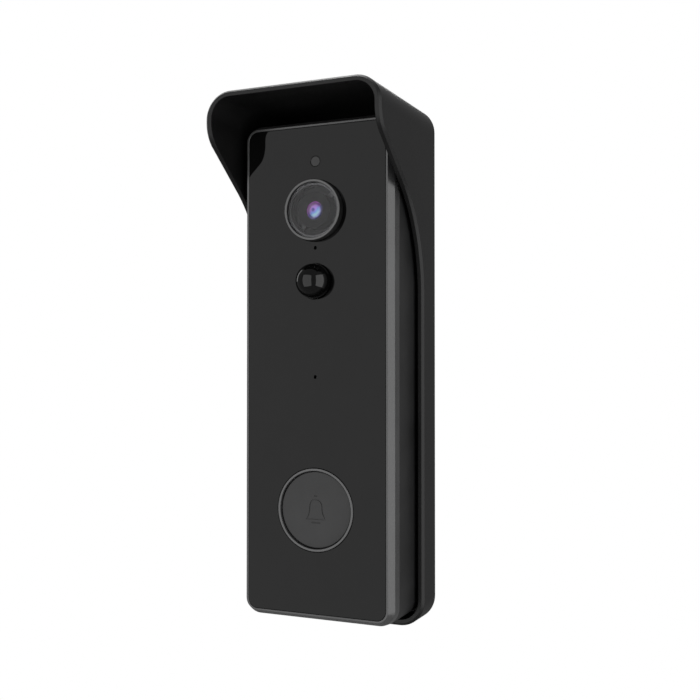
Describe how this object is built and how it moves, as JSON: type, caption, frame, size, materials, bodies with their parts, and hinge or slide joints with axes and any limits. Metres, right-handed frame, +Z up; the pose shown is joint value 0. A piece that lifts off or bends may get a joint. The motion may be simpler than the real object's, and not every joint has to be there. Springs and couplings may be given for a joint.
{
  "type": "video doorbell",
  "caption": "Battery video doorbell with a gloss front panel, camera, motion sensor dome and bell button, held in a wall-mounted rain hood.",
  "frame": {"origin": "on the wall face of the rain hood's back plate, in the middle of its width and level with the middle of the doorbell's body", "axes": "+Z up along the doorbell's height, +Y into the wall, +X to the right for someone who faces the doorbell; the front panel looks along -Y"},
  "size_m": [0.0562, 0.0444, 0.1597],
  "materials": {
    "hood_plastic": "satin black moulded plastic with a fine grain",
    "panel_gloss": "mirror-gloss black acrylic",
    "casing_plastic": "smooth dark grey-black plastic, semi-gloss",
    "ring_grey": "thin satin grey plated ring",
    "smoked_glass": "smoked cover glass",
    "coated_lens": "coated lens with violet and blue reflections",
    "sensor_glass": "dark glass over silicon",
    "dome_gloss": "glossy black infrared-clear plastic",
    "window_plastic": "smoked light pipe",
    "button_plastic": "satin dark grey plastic with a sunken bell",
    "black_rubber": "soft black seal",
    "flap_rubber": "matt black silicone",
    "adhesive": "foam adhesive sheet",
    "ribbon": "amber polyimide film",
    "circuit_board": "green solder mask",
    "black_part": "plain black moulded part",
    "clear_plastic": "clear moulded LED package",
    "steel": "bright steel",
    "brass": "turned brass",
    "cell_wrap": "blue shrink-wrapped steel cell, its density near aluminium's"
  },
  "bodies": {
    "rain_hood": {"rain_hood": "hood_plastic"},
    "doorbell_unit": {"front_panel": "panel_gloss", "panel_adhesive": "adhesive", "front_casing": "casing_plastic", "rear_casing": "casing_plastic", "casing_gasket": "black_rubber", "battery_door": "casing_plastic", "battery_door_seal": "black_rubber", "door_screw_upper": "steel", "door_screw_lower": "steel", "case_screw_top_left": "steel", "case_screw_top_right": "steel", "case_screw_bottom_left": "steel", "case_screw_bottom_right": "steel", "camera_bezel_ring": "ring_grey", "camera_cover_glass": "smoked_glass", "lens_barrel": "black_part", "lens_front_element": "coated_lens", "lens_holder": "black_part", "image_sensor": "sensor_glass", "image_sensor_board": "circuit_board", "camera_ribbon_cable": "ribbon", "ir_led_board": "circuit_board", "ir_led_1": "clear_plastic", "ir_led_2": "clear_plastic", "ir_led_3": "clear_plastic", "ir_led_4": "clear_plastic", "pir_lens": "dome_gloss", "pir_sensor": "steel", "light_sensor_window": "window_plastic", "light_sensor": "black_part", "status_led": "clear_plastic", "microphone_gasket": "black_rubber", "microphone": "steel", "button_ring": "ring_grey", "button_seal": "black_rubber", "tact_switch_body": "black_part", "main_board": "circuit_board", "processor_chip": "black_part", "wifi_module": "steel", "wifi_antenna": "brass", "battery_cell_left": "cell_wrap", "battery_cell_right": "cell_wrap", "positive_contact_left": "steel", "positive_contact_right": "steel", "negative_spring_left": "steel", "negative_spring_right": "steel", "speaker_frame": "black_part", "speaker_cone": "ribbon", "speaker_magnet": "steel", "usb_board": "circuit_board", "usb_port": "steel", "security_nut": "brass"},
    "bell_button": {"button_cap": "button_plastic"},
    "tact_switch_stem": {"tact_switch_stem": "steel"},
    "usb_flap": {"usb_flap": "flap_rubber"},
    "reset_button": {"reset_button": "black_part"},
    "security_screw": {"security_screw": "steel"}
  },
  "joints": [
    {"name": "unit_release", "type": "slide", "parent": "rain_hood", "child": "doorbell_unit", "axis": [0, 0, 1], "range_m": [0, 0.004]},
    {"name": "bell_button_press", "type": "slide", "parent": "doorbell_unit", "child": "bell_button", "axis": [0, 1, 0], "range_m": [0, 0.0004], "stiffness_N_per_m": 3000},
    {"name": "tact_switch_press", "type": "slide", "parent": "doorbell_unit", "child": "tact_switch_stem", "axis": [0, 1, 0], "range_m": [0, 0.0005]},
    {"name": "usb_flap_hinge", "type": "hinge", "parent": "doorbell_unit", "child": "usb_flap", "pos_m": [0, -0.0201, -0.0745], "axis": [-1, 0, 0], "range_deg": [0, 100]},
    {"name": "reset_button_press", "type": "slide", "parent": "doorbell_unit", "child": "reset_button", "axis": [0, 0, 1], "range_m": [0, 0.0005], "stiffness_N_per_m": 2000},
    {"name": "security_screw_travel", "type": "slide", "parent": "rain_hood", "child": "security_screw", "axis": [0, 0, -1], "range_m": [0, 0.01]}
  ],
  "couplings": [
    {"joint": "tact_switch_press", "follows": "bell_button_press", "ratio": 1}
  ]
}
